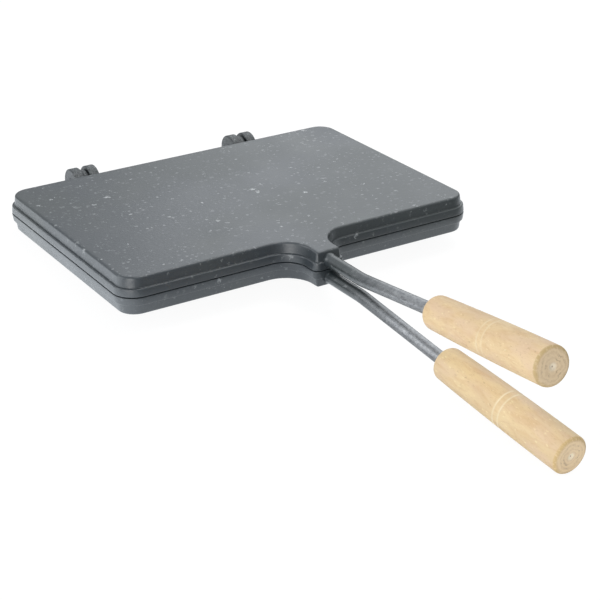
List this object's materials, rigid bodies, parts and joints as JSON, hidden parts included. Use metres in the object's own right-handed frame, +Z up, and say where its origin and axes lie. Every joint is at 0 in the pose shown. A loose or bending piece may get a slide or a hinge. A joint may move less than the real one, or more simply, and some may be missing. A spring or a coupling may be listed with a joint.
{
  "type": "pie iron",
  "caption": "Hinged pie iron: flat cast trays that close face to face, each on a bent steel rod with a turned wooden grip.",
  "frame": {"origin": "centre of the flat underside of the lower tray", "axes": "+X along the trays' long side, +Y from the grips towards the hinges, +Z up through the closed trays"},
  "size_m": [0.3, 0.532, 0.0924],
  "materials": {
    "tray": "satin non-stick coating, dark grey with fine pale specks",
    "rod": "satin",
    "grip": "turned, lightly sealed",
    "pin": "satin"
  },
  "bodies": {
    "lower_half": {"lower_plate": "tray", "lower_rod": "rod", "lower_grip": "grip", "right_hinge_pin": "pin"},
    "upper_half": {"upper_plate": "tray", "upper_rod": "rod", "upper_grip": "grip", "left_hinge_pin": "pin"}
  },
  "joints": [
    {"name": "hinge", "type": "hinge", "parent": "lower_half", "child": "upper_half", "pos_m": [0, 0.1254, 0.0144], "axis": [-1, 0, 0], "range_deg": [0, 180]}
  ]
}
